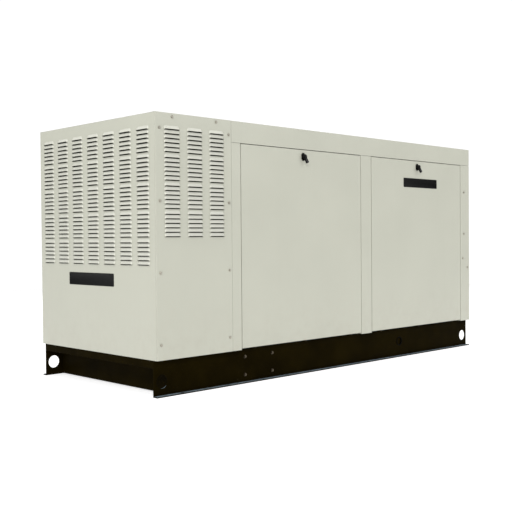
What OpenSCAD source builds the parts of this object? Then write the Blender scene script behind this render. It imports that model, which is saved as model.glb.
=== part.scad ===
// Home standby generator: a liquid-cooled engine and alternator set on a steel base,
// inside a sheet-metal enclosure with a louvred discharge end and two lift-off doors.
// Millimetres, +Z up, +X along the length away from the louvred end, doors facing -Y.

/* [Enclosure] */
// Length of the enclosure and of the base under it
body_l = 2655; // [2600:5:2750]
// Width of the enclosure
body_w = 1016; // [1000:1:1040]
// Height from the pad to the top of the roof
body_h = 1320; // [1315:1:1340]
// Thickness of the enclosure's sheet metal
sheet = 2; // [1.5:0.5:2.5]
// Length of the louvred discharge plenum
plenum_l = 475; // [470:1:480]
// Height of the roof's side fascia
header_h = 107; // [100:1:110]

/* [Doors] */
// Gap at each side of a door
door_gap = 4; // [3:0.5:5]
// Depth of a door's folded edge
door_depth = 25; // [20:1:26]
// Width of the post beside the plenum
left_post_w = 61; // [55:1:65]
// Width of the post between the doors
middle_post_w = 94; // [85:1:100]
// Width of the corner post at the alternator end
right_post_w = 105; // [90:1:110]
// Thickness of the acoustic foam on the doors
foam_t = 28; // [15:1:30]

/* [Louvres] */
// Length of one louvre
louvre_w = 94; // [80:1:100]
// Distance from one column of louvres to the next
column_pitch = 138.6; // [130:0.2:140]
// Distance from one louvre to the next inside a group
louvre_pitch = 20.8; // [20:0.1:21.5]
// Distance from one group of louvres to the next
group_pitch = 131.3; // [128:0.1:132]
// How far a louvre's lip stands out of the panel
louvre_out = 9; // [6:0.5:10]

/* [Base] */
// Height of the base rails
base_h = 172; // [170:1:176]
// How far the rails stand inside the enclosure's sides
rail_inset = 28; // [26:1:30]
// Thickness of the base steel
plate = 5; // [4:0.5:6]
// Diameter of the lifting holes
lift_hole_d = 67; // [60:1:75]
// Diameter of the pipe entry in the front rail
entry_hole_d = 50; // [40:1:54]
// Diameter of the anchor holes
anchor_hole_d = 17; // [14:1:19]

/* [Engine and alternator] */
// Height of the crankshaft above the pad
crank_z = 470; // [465:1:475]
// Radius of the cooling fan
fan_r = 376; // [350:1:380]
// Number of fan blades
fan_blades = 7; // [5:1:9]
// Effective radius of the crankshaft pulley
crank_pulley_r = 85; // [80:1:88]
// Effective radius of the fan pulley
fan_pulley_r = 70; // [68:1:74]
// Effective radius of the charging alternator's pulley
charger_pulley_r = 32; // [30:1:35]

/* [Hidden] */
$fn = 48;
fine = 96;

// Doors and posts, measured from the louvred end
door_w = (body_l - plenum_l - left_post_w - middle_post_w - right_post_w - 4 * door_gap) / 2;
door_x = [plenum_l + left_post_w + door_gap,
          plenum_l + left_post_w + middle_post_w + door_w + 3 * door_gap];
middle_post_x = door_x[0] + door_w + door_gap;
right_post_x = body_l - right_post_w;
header_z = body_h - header_h;
seam = 1.5;          // between two neighbouring outer panels
door_bottom_z = base_h + 8;
door_top_z = header_z - 4;
lip_y = 30;          // the sealing lip behind each door's edge
lip_w = 20;
hook_at = [90, door_w / 2, door_w - 90];
hook_t = 4;          // a hook passes through a slot in the door's bottom fold
hook_y = [8, 16];
hook_rise = 16;
clear = 0.4;         // between a door and what it rests on or against
latch_z = 1172;
latch_x = door_w / 2 - 16; // a little nearer the louvred end than the door's centre
latch_sleeve_r = 10;
latch_shaft_r = 6;
lever_lean = 22;     // the latch's lever points this far from straight down

// Louvre fields: the lip of the top row, and the first column's edge
louvre_top_z = 1246;
louvre_rows = 6;
louvre_h = 15;
side_louvre_x = 51;
side_groups = 4;
end_columns = 7;
end_groups = 5;
end_louvre_y = (body_w - (end_columns - 1) * column_pitch - louvre_w) / 2;
intake_columns = 6;
intake_groups = 4;
intake_louvre_y = (body_w - (intake_columns - 1) * column_pitch - louvre_w) / 2;

// Base
rail_y = rail_inset;
flange_out = 27;
top_flange_w = 100;
shelf_x = 100;       // the end channels stand this far inside the rail ends
lift_x = 48;
lift_z = 70;
entry_x = 1896;
entry_z = 93;
anchor_x = 160;
anchor_y = rail_y - flange_out / 2;
cross_top_z = 150;
cross_x = [240, 684, 1430, 1930, 2400];
cross_w = [200, 240, 150, 230, 150];
stator_foot_x = cross_x[3];
rail_bolt_x = [581, 777];
rail_bolt_z = [40, 133];
rail_bolt_r = 4;
rail_bolt_hole_r = rail_bolt_r + 0.5;

// Drive line
mid_y = body_w / 2;
engine_x = plenum_l + 285;
thermostat = [engine_x + 130, mid_y - 44];
fan_z = 660;
charger_z = 885;
fan_x = plenum_l + 100;
pump_inlet = [668, 420];
mount_x = engine_x - 32;      // front engine mounts
pulley_x = plenum_l + 225;
pulley_w = 24;
engine_l = 600;
bell_x = engine_x + engine_l;
bell_l = 140;
stator_x = bell_x + bell_l;
stator_l = 520;
stator_r = 235;
rotor_r = 145;
crank_r = 32;
exhaust_z = 215;
exhaust_y = 208;
muffler_x = 240;
muffler_z = 430;
inlet_drop = 142;      // the muffler's inlets end this far below its axis

// Controls
box_x = 1720;
box_l = 400;
box_y = 120;
box_depth = 200;
box_z = 790;
box_h = 350;
stop_at = [330, 270];      // emergency stop, from the box's lower corner
switch_at = [330, 175];    // mode switch
breaker_at = [200, 70];    // main circuit breaker

cream = "#cbccbd";
base_black = "#1d1c17";
engine_grey = "#4a4d4f";

// ---------- helpers ----------

// Everything is drawn from the enclosure's lower front corner at the louvred end,
// and this puts the origin at the middle of the footprint.
module placed() {
    translate([-body_l / 2, -body_w / 2, 0]) children();
}

// The same shape on the front side and, mirrored, on the rear side.
module both_sides() {
    children();
    rear_side() children();
}

module rear_side() {
    translate([0, body_w, 0]) mirror([0, 1, 0]) children();
}

// A block between two corners.
module block(low, high) {
    translate(low) cube(high - low);
}

module rod_x(from, to, y, z, r) {
    translate([from, y, z]) rotate([0, 90, 0]) cylinder(r = r, h = to - from);
}

module rod_y(x, from, to, z, r) {
    translate([x, from, z]) rotate([-90, 0, 0]) cylinder(r = r, h = to - from);
}

module rod_z(x, y, from, to, r) {
    translate([x, y, from]) cylinder(r = r, h = to - from);
}

// A round tube through a list of points, with ball elbows a little fatter than the tube.
module pipe_run(points, r) {
    elbow_r = r + 1.5;
    for (i = [0 : len(points) - 2]) {
        step = points[i + 1] - points[i];
        turn = [0, acos(step[2] / norm(step)), atan2(step[1], step[0])];
        translate(points[i]) rotate(turn) cylinder(r = r, h = norm(step));
        if (i > 0) translate(points[i]) sphere(r = elbow_r);
    }
}

// One column of louvre hoods on a wall whose outside faces -Y, lips at the listed heights.
function louvre_heights(groups) =
    [for (g = [0 : groups - 1], i = [0 : louvre_rows - 1])
        louvre_top_z - g * group_pitch - i * louvre_pitch];

module hood_profile(z, lip, top, back) {
    polygon([[back, z], [lip, z], [0, z + top], [back, z + top]]);
}

// Extrudes a profile drawn as [outward, up] along X, outward being -Y.
module louvre_prism(length) {
    rotate([90, 0, 90]) linear_extrude(length) mirror([1, 0]) children();
}

module louvre_hoods(groups) {
    louvre_prism(louvre_w)
        for (z = louvre_heights(groups)) hood_profile(z, louvre_out, louvre_h, 0);
}

module louvre_slots(groups) {
    translate([sheet, 0, 0]) louvre_prism(louvre_w - 2 * sheet)
        for (z = louvre_heights(groups))
            translate([0, -0.5]) hood_profile(z, louvre_out - sheet, louvre_h - 4, -2 * sheet);
}

// A flat wall from x = 0 along X, its outside at y = 0, with columns of louvres.
module louvred_wall(length, height, from_z, first, columns, groups) {
    difference() {
        union() {
            block([0, 0, from_z], [length, sheet, from_z + height]);
            for (c = [0 : columns - 1])
                translate([first + c * column_pitch, 0, 0]) louvre_hoods(groups);
        }
        for (c = [0 : columns - 1])
            translate([first + c * column_pitch, 0, 0]) louvre_slots(groups);
    }
}

// Places of the panel screws, as [x, z] on the front face.
corner_screws = concat(
    [for (x = [26, 457], z = [243, 577, 911, 1248]) [x, z]],
    [[102, 1303], [375, 1303]]);
post_screws = [[2590, 1032], [2590, 755], [2576, 591], [2633, 528]];
rear_edge_x = [14, door_w - 14];
rear_edge_z = [door_bottom_z + 16, door_top_z - 16];
rear_screws = [for (d = door_x) each concat(
    [for (x = rear_edge_x, z = [rear_edge_z[0], 690, rear_edge_z[1]]) [d + x, z]],
    [for (z = rear_edge_z) [d + door_w / 2, z]])];

screw_hole_r = 3.4;

module screw_holes(places) {
    for (p = places) translate([p[0], -1, p[1]]) rotate([-90, 0, 0])
        cylinder(r = screw_hole_r, h = 12, $fn = 8);
}

module screw(shank) {
    rotate([-90, 0, 0]) {
        translate([0, 0, -1.2]) cylinder(r = 8, h = 1.2);
        translate([0, 0, -4.7]) cylinder(r = 5.8, h = 3.5, $fn = 6);
        cylinder(r = screw_hole_r - 0.4, h = shank, $fn = 8);
    }
}

// ---------- base ----------

module rail_profile() {
    translate([rail_y, 0]) square([plate, base_h]);
    translate([rail_y - flange_out, 0]) square([flange_out, plate]);
}

module rail(entry) {
    difference() {
        union() {
            rotate([90, 0, 90]) linear_extrude(body_l) rail_profile();
            block([shelf_x + plate, rail_y, base_h - plate],
                  [body_l - shelf_x - plate, rail_y + top_flange_w, base_h]);
        }
        for (x = [lift_x, body_l - lift_x])
            rod_y(x, rail_y - 1, rail_y + plate + 1, lift_z, lift_hole_d / 2, $fn = fine);
        if (entry)
            rod_y(entry_x, rail_y - 1, rail_y + plate + 1, entry_z, entry_hole_d / 2);
        for (x = [anchor_x, body_l - anchor_x])
            rod_z(x, anchor_y, -1, plate + 1, anchor_hole_d / 2);
        for (x = rail_bolt_x, z = rail_bolt_z)
            rod_y(x, rail_y - 1, rail_y + plate + 1, z, rail_bolt_hole_r);
    }
}

module base_rail_front() {
    color(base_black) placed() rail(true);
}

module base_rail_rear() {
    color(base_black) placed() rear_side() rail(false);
}

// The channel across the base's end, with a shelf and a turned-down lip under the enclosure.
module end_channel() {
    lip_drop = 37;
    inner = rail_y + plate;
    block([shelf_x, inner, 3], [shelf_x + plate, body_w - inner, base_h]);
    block([0, inner, base_h - plate], [shelf_x, body_w - inner, base_h]);
    block([0, inner, base_h - lip_drop], [plate - 1, body_w - inner, base_h - plate]);
    block([shelf_x + plate, inner, 3], [shelf_x + 45, body_w - inner, 3 + plate]);
}

module base_end_channels() {
    color(base_black) placed() {
        end_channel();
        translate([body_l, 0, 0]) mirror([1, 0, 0]) end_channel();
    }
}

// A channel, open underneath, between two bolted end plates.
module cross_member(x, w) {
    inner = rail_y + plate;
    depth = 110;
    half = w / 2 - 35;
    translate([x, 0, 0]) difference() {
        union() {
            block([-half, inner + 6, cross_top_z - depth],
                  [half, body_w - inner - 6, cross_top_z]);
            for (y = [inner, body_w - inner - 6])
                block([-w / 2, y, 18], [w / 2, y + 6, cross_top_z + 5]);
        }
        block([-half + plate, inner + 6, cross_top_z - depth - 1],
              [half - plate, body_w - inner - 6, cross_top_z - plate]);
        for (bx = rail_bolt_x, bz = rail_bolt_z)
            rod_y(bx - x, 0, body_w, bz, rail_bolt_hole_r);
    }
}

module base_cross_members() {
    color(base_black) placed() for (i = [0 : len(cross_x) - 1]) cross_member(cross_x[i], cross_w[i]);
}

module base_bolts() {
    head_out = 7.5;
    hex_r = 7.5;
    color("#8b8a84") placed() both_sides() for (x = rail_bolt_x, z = rail_bolt_z) {
        translate([x, rail_y, z]) rotate([90, 0, 0]) {
            cylinder(r = 9, h = 2);
            cylinder(r = hex_r, h = head_out, $fn = 6);
        }
        rod_y(x, rail_y - 1, rail_y + plate + 18, z, rail_bolt_r);
        translate([x, rail_y + plate + 6, z]) rotate([-90, 0, 0]) cylinder(r = hex_r, h = 7, $fn = 6);
    }
}

// ---------- enclosure ----------

module end_panel_left() {
    side_return = 50;
    color(cream) placed() difference() {
        union() {
            translate([0, body_w, 0]) rotate([0, 0, -90]) difference() {
                louvred_wall(body_w, body_h - base_h, base_h, end_louvre_y, end_columns, end_groups);
                for (x = [-1, body_w - sheet])
                    block([x, -1, base_h - 1], [x + sheet + 1, sheet + 1, body_h + 1]);
            }
            both_sides() block([sheet, sheet, base_h], [side_return, 2 * sheet, body_h - sheet]);
            block([sheet, 2 * sheet, base_h], [side_return - 10, body_w - 2 * sheet, base_h + sheet]);
        }
        both_sides() screw_holes(corner_screws);
    }
}

module end_panel_right() {
    edge = 60 + seam;
    fold = 35;
    top_z = header_z - seam;
    color(cream) placed() translate([body_l, 0, 0]) {
        rotate([0, 0, 90]) difference() {
            block([edge, 0, base_h], [body_w - edge, sheet, top_z]);
            intake_slots();
        }
        intake_hoods();
        both_sides() block([-fold, edge, base_h], [-sheet, edge + sheet, top_z]);
    }
}

// The intake louvres at the alternator end, a shorter field lower down.
module intake_field() {
    drop = header_z - louvre_top_z - 60;
    rotate([0, 0, 90]) translate([0, 0, drop])
        for (c = [0 : intake_columns - 1])
            translate([intake_louvre_y + c * column_pitch, 0, 0]) children();
}

module intake_hoods() {
    intake_field() difference() {
        louvre_hoods(intake_groups);
        louvre_slots(intake_groups);
    }
}

module intake_slots() {
    rotate([0, 0, -90]) intake_field() louvre_slots(intake_groups);
}

module corner_panel() {
    bottom_fold = 28;
    difference() {
        union() {
            louvred_wall(plenum_l - seam, body_h - base_h, base_h, side_louvre_x, 3, side_groups);
            block([52, sheet, base_h], [plenum_l - 37, bottom_fold, base_h + sheet]);
        }
        screw_holes(corner_screws);
    }
}

module corner_panel_front() {
    color(cream) placed() corner_panel();
}

module corner_panel_rear() {
    color(cream) placed() rear_side() corner_panel();
}

module roof_plenum() {
    drop = 40;
    color(cream) placed() difference() {
        union() {
            block([sheet, sheet, body_h - sheet], [plenum_l, body_w - sheet, body_h]);
            both_sides() block([52, sheet, body_h - drop], [plenum_l - sheet, 2 * sheet, body_h - sheet]);
            block([plenum_l - sheet, sheet, body_h - drop], [plenum_l, body_w - sheet, body_h - sheet]);
        }
        both_sides() screw_holes(corner_screws);
    }
}

// The long roof: a top sheet with a fascia on three sides, folded in under its lower edge.
module roof_main() {
    color(cream) placed() {
        block([plenum_l, 0, body_h - sheet], [body_l, body_w, body_h]);
        both_sides() {
            block([plenum_l, 0, header_z], [body_l, sheet, body_h - sheet]);
            block([plenum_l, sheet, header_z], [body_l - sheet, lip_y + sheet, header_z + sheet]);
            for (d = door_x)
                block([d - door_gap + lip_w, lip_y, header_z - 23],
                      [d + door_w + door_gap - lip_w, lip_y + sheet, header_z]);
        }
        block([body_l - sheet, sheet, header_z], [body_l, body_w - sheet, body_h - sheet]);
        block([plenum_l, sheet, body_h - 32], [plenum_l + sheet, body_w - sheet, body_h - sheet]);
    }
}

// A post in plan: a face at y = 0, two side walls and a sealing lip behind each door edge.
module post(x, w, left_lip, right_lip) {
    lip_back = lip_y + sheet;
    block([x, 0, base_h], [x + w, sheet, header_z - seam]);
    for (wall = [x, x + w - sheet])
        block([wall, sheet, base_h], [wall + sheet, lip_back, header_z]);
    if (left_lip) block([x - lip_w, lip_y, base_h], [x, lip_back, header_z]);
    if (right_lip) block([x + w, lip_y, base_h], [x + w + lip_w, lip_back, header_z]);
}

module door_posts() {
    overlap = 35;
    color(cream) placed() both_sides() {
        post(plenum_l, left_post_w, false, true);
        difference() {
            block([plenum_l - overlap, sheet, base_h], [plenum_l, 2 * sheet, header_z]);
            screw_holes(corner_screws);
        }
        post(middle_post_x, middle_post_w, true, true);
    }
}

module right_corner_posts() {
    wrap = 60;
    lip_back = lip_y + sheet;
    color(cream) placed() {
        difference() {
            right_corner_post(wrap, lip_back);
            screw_holes(post_screws);
        }
        rear_side() right_corner_post(wrap, lip_back);
    }
}

module right_corner_post(wrap, lip_back) {
    block([right_post_x, 0, base_h], [body_l, sheet, header_z - seam]);
    block([right_post_x, sheet, base_h], [right_post_x + sheet, lip_back, header_z]);
    block([right_post_x - lip_w, lip_y, base_h], [right_post_x, lip_back, header_z]);
    block([body_l - sheet, sheet, base_h], [body_l, wrap, header_z - seam]);
}

// A folded panel that fills a door opening, drawn from its left edge.
module folded_panel(depth) {
    z0 = door_bottom_z;
    z1 = door_top_z;
    difference() {
        block([0, 0, z0], [door_w, depth, z1]);
        block([sheet, sheet, z0 + sheet], [door_w - sheet, depth + 1, z1 - sheet]);
    }
}

module rear_panels() {
    color(cream) placed() rear_side() for (d = door_x) difference() {
        translate([d, 0, 0]) folded_panel(lip_y);
        screw_holes(rear_screws);
    }
}

// The wall between the engine bay and the plenum, open for the radiator's core.
module plenum_bulkhead() {
    color(cream) placed() difference() {
        block([plenum_l + 3, 36, base_h + 4], [plenum_l + 6, body_w - 36, 1280]);
        block([plenum_l, 118, 320], [plenum_l + 10, body_w - 118, 1120]);
        both_sides() rod_x(plenum_l, plenum_l + 10, exhaust_y, exhaust_z, 34);
    }
}

module enclosure_screws() {
    shank = 9;
    color("#b9b7ab") placed() {
        both_sides() for (p = corner_screws) translate([p[0], 0, p[1]]) screw(shank);
        for (p = post_screws) translate([p[0], 0, p[1]]) screw(shank);
        rear_side() for (p = rear_screws) translate([p[0], 0, p[1]]) screw(shank);
    }
}

// Blank nameplates, stuck to the louvred end and to the second door.
nameplate_t = 1;

module nameplate_end() {
    color("#101113") placed() block([-nameplate_t, 337, 504], [0, 737, 568]);
}

module nameplate_door() {
    x = door_x[1] + 318;
    color("#101113") placed() block([x, -nameplate_t, 1044], [x + 358, 0, 1101]);
}

// ---------- doors ----------

// Hooks on the sill: a ledge that the door's lower edge stands and tilts on, and an upright
// that passes through the door's bottom fold and keeps it in place.
module door_hooks() {
    ledge_z = door_bottom_z - clear;
    color("#8e8f8a") placed() for (d = door_x, h = hook_at)
        translate([d + h - hook_t / 2, 0, 0]) {
            block([0, 3, base_h], [hook_t, rail_y + 32, ledge_z]);
            block([0, hook_y[0], ledge_z], [hook_t, hook_y[1], door_bottom_z + hook_rise]);
        }
}

// Rubber seals on the lips behind the doors, round the top and both sides.
module door_seals() {
    color("#18181a") placed() for (d = door_x) {
        y = [door_depth + clear, lip_y];
        top = [header_z - 21, header_z - 9];
        left = d + 3;
        right = d + door_w - 3;
        for (x = [left, right - 10]) block([x, y[0], base_h + 6], [x + 10, y[1], top[0]]);
        block([left, y[0], top[0]], [right, y[1], top[1]]);
    }
}

module door_panel(d) {
    color(cream) placed() translate([d, 0, 0]) difference() {
        folded_panel(door_depth);
        rod_y(latch_x, -1, sheet + 1, latch_z, latch_sleeve_r + 0.3);
        for (h = hook_at)
            block([h - hook_t, hook_y[0] - 3, door_bottom_z - 1],
                  [h + hook_t, hook_y[1] + 6, door_bottom_z + sheet + 1]);
    }
}

module door_insulation(d) {
    edge = 26;
    color("#2a2a2b") placed() translate([d, 0, 0]) difference() {
        block([edge, sheet, door_bottom_z + 30], [door_w - edge, sheet + foam_t, door_top_z - edge]);
        rod_y(latch_x, 0, foam_t + 5, latch_z, 24);
        block([latch_x - 24, 0, latch_z], [latch_x + 24, foam_t + 5, door_top_z]);
    }
}

// The latch's fixed part: a plate outside, a sleeve through the skin and a nut inside.
module latch_body(d) {
    half_w = 13;
    rise = 8;
    color("#0c0c0c") placed() translate([d + latch_x, 0, 0]) difference() {
        union() {
            rod_y(0, -4, 0, latch_z + rise, half_w);
            rod_y(0, -4, 0, latch_z - rise, half_w);
            block([-half_w, -4, latch_z - rise], [half_w, 0, latch_z + rise]);
            rod_y(0, -4, sheet + 12, latch_z, latch_sleeve_r);
            translate([0, sheet, latch_z]) rotate([-90, 0, 0]) cylinder(r = 16, h = 6, $fn = 6);
        }
        rod_y(0, -5, sheet + 13, latch_z, latch_shaft_r + 0.08);
    }
}

// The latch's turning part: a lever outside, a shaft, and a cam that swings up behind the roof's lip.
module latch_handle(d) {
    boss_r = 12.5;
    blade_w = 15;
    color("#0a0a0a") placed() translate([d + latch_x, 0, 0]) {
        rod_y(0, -19, -4.3, latch_z, boss_r);
        rod_y(0, -5, 44, latch_z, latch_shaft_r);
        translate([0, 0, latch_z]) rotate([0, -lever_lean, 0]) translate([-blade_w / 2, 0, 0])
            rotate([90, 0, 90]) linear_extrude(blade_w)
                polygon([[-7, 8], [-15, 12], [-20, 6], [-22, -14], [-27, -30], [-24, -36],
                         [-18, -35], [-14, -20], [-7, -12]]);
        rod_y(0, 36, 39, latch_z, 9);
        block([0, 36, latch_z - 9], [48, 39, latch_z + 9]);
        translate([0, 39, latch_z]) rotate([-90, 0, 0]) cylinder(r = 10, h = 5, $fn = 6);
    }
}

// ---------- cooling ----------

module radiator() {
    x0 = plenum_l + 9;
    x1 = x0 + 70;
    y0 = 118;
    y1 = body_w - y0;
    color("#26282a") placed() {
        block([x0 + 10, y0, 320], [x1 - 10, y1, 1120]);
        block([x0, y0, 260], [x1, y1, 320]);
        difference() {
            block([x0, y0, 1120], [x1, y1, 1200]);
            rod_z((x0 + x1) / 2, mid_y, 1180, 1201, 14);
        }
        both_sides() block([x0, y0 - 20, base_h], [x1, y0, 1200]);
        difference() {
            rod_z((x0 + x1) / 2, mid_y, 1200, 1222, 20);
            rod_z((x0 + x1) / 2, mid_y, 1199, 1223, 14);
        }
        rod_x(x1, x1 + 40, 350, 1160, 22);
        rod_x(x1, x1 + 40, 690, 290, 24);
    }
}

module radiator_cap() {
    x = plenum_l + 44;
    color("#8d9092") placed() difference() {
        union() {
            rod_z(x, mid_y, 1222.3, 1232, 30);
            rod_z(x, mid_y, 1232, 1242, 14);
            for (a = [0, 90]) translate([x, mid_y, 1226]) rotate([0, 0, a])
                translate([-36, -6, 0]) cube([72, 12, 6]);
            rod_z(x, mid_y, 1206, 1222.3, 13.94);
        }
    }
}

module fan_shroud() {
    x0 = plenum_l + 81;
    ring_r = fan_r + 12;
    color("#1a1b1c") placed() difference() {
        union() {
            block([x0, 100, 322], [x0 + 3, body_w - 100, 1118]);
            rod_x(x0, x0 + 80, mid_y, fan_z, ring_r + 3, $fn = fine);
            both_sides() block([x0, 97, 322], [x0 + 30, 100, 1118]);
        }
        rod_x(x0 - 1, x0 + 81, mid_y, fan_z, ring_r, $fn = fine);
        block([x0 - 1, 0, fan_z - ring_r - 30], [x0 + 81, body_w, 322]);
    }
}

module pulley(r, z, bore) {
    rim = 4;
    translate([pulley_x, mid_y, z]) rotate([0, 90, 0]) difference() {
        union() {
            cylinder(r = r, h = pulley_w);
            cylinder(r = r + rim, h = 2);
            translate([0, 0, pulley_w - 2]) cylinder(r = r + rim, h = 2);
        }
        if (bore > 0) translate([0, 0, -1]) cylinder(r = bore, h = pulley_w + 2);
        if (r > 60)
            for (a = [0 : 72 : 359]) rotate([0, 0, a]) translate([r * 0.62, 0, -1])
                cylinder(r = r * 0.16, h = pulley_w + 2);
    }
}

module fan() {
    hub_r = 78;
    blade_chord = 150;
    color("#101112") placed() {
        rod_x(fan_x, fan_x + 55, mid_y, fan_z, hub_r);
        rod_x(fan_x + 55, pulley_x, mid_y, fan_z, 34);
        pulley(fan_pulley_r, fan_z, 0);
        rod_x(pulley_x + pulley_w, engine_x - 5, mid_y, fan_z, 18);
        for (i = [0 : fan_blades - 1])
            translate([fan_x + 27, mid_y, fan_z]) rotate([i * 360 / fan_blades, 0, 0])
                rotate([0, 0, 24])
                    translate([-2, -blade_chord / 2, hub_r - 10]) fan_blade(blade_chord, hub_r);
    }
}

module fan_blade(chord, hub_r) {
    tip = fan_r - hub_r + 2;
    root_cut = 42;
    rotate([90, 0, 90]) linear_extrude(4)
        polygon([[root_cut, 0], [chord - root_cut, 0], [chord, tip * 0.55], [chord - 12, tip - 10],
                 [16, tip - 10], [0, tip * 0.55]]);
}

module belt_outline(grow) {
    hull() {
        translate([crank_z, 0]) circle(r = crank_pulley_r + grow, $fn = 64);
        translate([fan_z, 0]) circle(r = fan_pulley_r + grow, $fn = 64);
        translate([charger_z, 0]) circle(r = charger_pulley_r + grow, $fn = 64);
    }
}

module drive_belt() {
    slack = 0.4;
    belt_t = 5;
    color("#151515") placed() translate([pulley_x + 3, mid_y, 0]) rotate([0, -90, 0]) mirror([0, 0, 1])
        linear_extrude(pulley_w - 6) difference() {
            belt_outline(slack + belt_t);
            belt_outline(slack);
        }
}

module coolant_hoses() {
    color("#141414") placed() {
        pipe_run([[plenum_l + 119, 350, 1160], [plenum_l + 240, 350, 1160],
                  [engine_x + 110, 410, 1040], [thermostat[0], thermostat[1], 880],
                  [thermostat[0], thermostat[1], 812]], 21);
        pipe_run([[plenum_l + 119, 690, 290], [plenum_l + 175, 690, 290],
                  [engine_x - 60, pump_inlet[0], pump_inlet[1]],
                  [engine_x - 12, pump_inlet[0], pump_inlet[1]]], 23);
    }
}

// ---------- engine ----------

bank_angle = 45;
deck = 230;
head_w = 168;
head_t = 88;
cover_t = 62;

// Children drawn as [across the bank, along the bank's bore] in the plane across the crankshaft.
module bank_section(side) {
    translate([mid_y, crank_z]) rotate(side * bank_angle) children();
}

module along_engine(x0, length) {
    translate([x0, 0, 0]) rotate([90, 0, 90]) linear_extrude(length) children();
}

module engine_block() {
    skirt = 168;
    color(engine_grey) placed() difference() {
        union() {
            along_engine(engine_x, engine_l) {
                translate([mid_y - skirt, crank_z - 90]) square([2 * skirt, 180]);
                for (side = [-1, 1]) bank_section(side) translate([-80, 0]) square([160, deck]);
            }
            // Timing cover with the water pump's snout
            along_engine(engine_x - 22, 22) {
                translate([mid_y, crank_z]) circle(r = 130);
                translate([mid_y - 70, crank_z]) square([140, fan_z - crank_z]);
                translate([mid_y, fan_z]) circle(r = 70);
            }
            rod_x(engine_x - 36, engine_x - 22, mid_y, fan_z, 36);
            rod_x(engine_x - 12, engine_x, pump_inlet[0], pump_inlet[1], 24);
            // Front mounting brackets
            both_sides() {
                block([mount_x - 35, 298, 235], [engine_x + 20, 368, 243]);
                block([engine_x + 4, 330, 243], [engine_x + 20, 345, 400]);
            }
        }
        rod_x(engine_x - 40, engine_x + engine_l + 1, mid_y, crank_z, crank_r + 0.08);
        rod_x(engine_x - 40, engine_x - 4, mid_y, fan_z, 18.1);
    }
}

module cylinder_heads() {
    color("#7d8082") placed() for (side = [-1, 1]) {
        along_engine(engine_x + 8, engine_l - 16)
            bank_section(side) translate([-head_w / 2, deck]) square([head_w, head_t]);
        along_engine(engine_x + 14, engine_l - 28)
            bank_section(side) translate([-66, deck + head_t]) polygon([[0, 0], [132, 0], [132, cover_t - 18],
                [112, cover_t], [20, cover_t], [0, cover_t - 18]]);
        // Coil packs along the cover
        for (i = [0 : 4])
            translate([engine_x + 70 + i * 112, mid_y, crank_z]) rotate([side * bank_angle, 0, 0])
                translate([0, 0, deck + head_t + cover_t]) cylinder(r = 17, h = 22);
    }
}

module intake_manifold() {
    x0 = engine_x + 30;
    x1 = engine_x + engine_l - 60;
    color("#8f9294") placed() {
        difference() {
            block([x0, mid_y - 72, 680], [x1, mid_y + 72, 800]);
            block([x0 - 1, mid_y - 90, 676], [x1 + 1, mid_y - 52, 720]);
            block([x0 - 1, mid_y + 52, 676], [x1 + 1, mid_y + 90, 720]);
        }
        for (i = [0 : 4]) rod_z(x0 + 60 + i * 98, mid_y, 640, 680, 30);
        rod_z(x0 + 400, mid_y, 800, 846, 44);
        rod_z(thermostat[0], thermostat[1], 800, 812, 24);
    }
}

module air_cleaner() {
    x0 = engine_x + 250;
    color("#17181a") placed() {
        rod_x(x0, x0 + 330, mid_y, 965, 112);
        for (x = [x0 - 6, x0 + 316]) rod_x(x, x + 20, mid_y, 965, 118);
        rod_z(x0 + 180, mid_y, 846, 880, 50);
        rod_x(x0 + 350, x0 + 390, mid_y, 965, 52);
        rod_x(x0 + 336, x0 + 350, mid_y, 965, 45);
    }
}

// The sump, with the dipstick's guide tube beside it.
module oil_pan() {
    tube_x = engine_x + 310;
    tube_y = 150;
    color("#2c2e30") placed() difference() {
        union() {
            along_engine(engine_x + 30, engine_l - 60)
                polygon([[mid_y - 160, 380], [mid_y + 160, 380], [mid_y + 160, 350], [mid_y + 130, 225],
                         [mid_y - 130, 225], [mid_y - 160, 350]]);
            rod_y(tube_x, tube_y, mid_y - 140, 312, 8);
            rod_z(tube_x, tube_y, 304, 850, 8);
            rod_z(engine_x + 440, mid_y, 212, 230, 14);
        }
        rod_z(tube_x, tube_y, 312, 851, 4);
    }
}

module oil_filter() {
    color("#c8652c") placed() {
        rod_y(engine_x + 150, 226, 330, 425, 47);
        rod_y(engine_x + 150, 330, mid_y - 168, 425, 30);
    }
}

module dipstick() {
    tube_x = engine_x + 310;
    color("#c9a227") placed() {
        rod_z(tube_x, 150, 330, 852, 2.5);
        rod_z(tube_x, 150, 851, 862, 9);
        difference() {
            rod_y(tube_x, 147, 153, 882, 21);
            rod_y(tube_x, 146, 154, 882, 14);
        }
    }
}

// Each manifold lies beside a cylinder head's outer face, and its ports meet that face.
manifold_y = 212;
manifold_z = 580;
port_l = (mid_y - manifold_y - manifold_z + crank_z) / sqrt(2) - head_w / 2;

module exhaust_manifolds() {
    color("#6e5a4b") placed() both_sides() {
        rod_x(engine_x + 20, engine_x + engine_l - 60, manifold_y, manifold_z, 30);
        for (i = [0 : 4])
            translate([engine_x + 70 + i * 112, manifold_y, manifold_z]) rotate([-bank_angle, 0, 0])
                cylinder(r = 20, h = port_l);
        rod_z(engine_x + 50, manifold_y, manifold_z - 70, manifold_z, 32);
        rod_z(engine_x + 50, manifold_y, manifold_z - 78, manifold_z - 70, 46);
    }
}

module exhaust_pipes() {
    pipe_r = 27;
    top_z = manifold_z - 78;
    color("#77695c") placed() both_sides() {
        pipe_run([[engine_x + 50, manifold_y, top_z], [engine_x + 50, manifold_y, 330],
                  [engine_x - 20, exhaust_y, exhaust_z], [muffler_x, exhaust_y, exhaust_z],
                  [muffler_x, exhaust_y, muffler_z - inlet_drop]], pipe_r);
        rod_z(engine_x + 50, manifold_y, top_z - 10, top_z, 46);
    }
}

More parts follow.
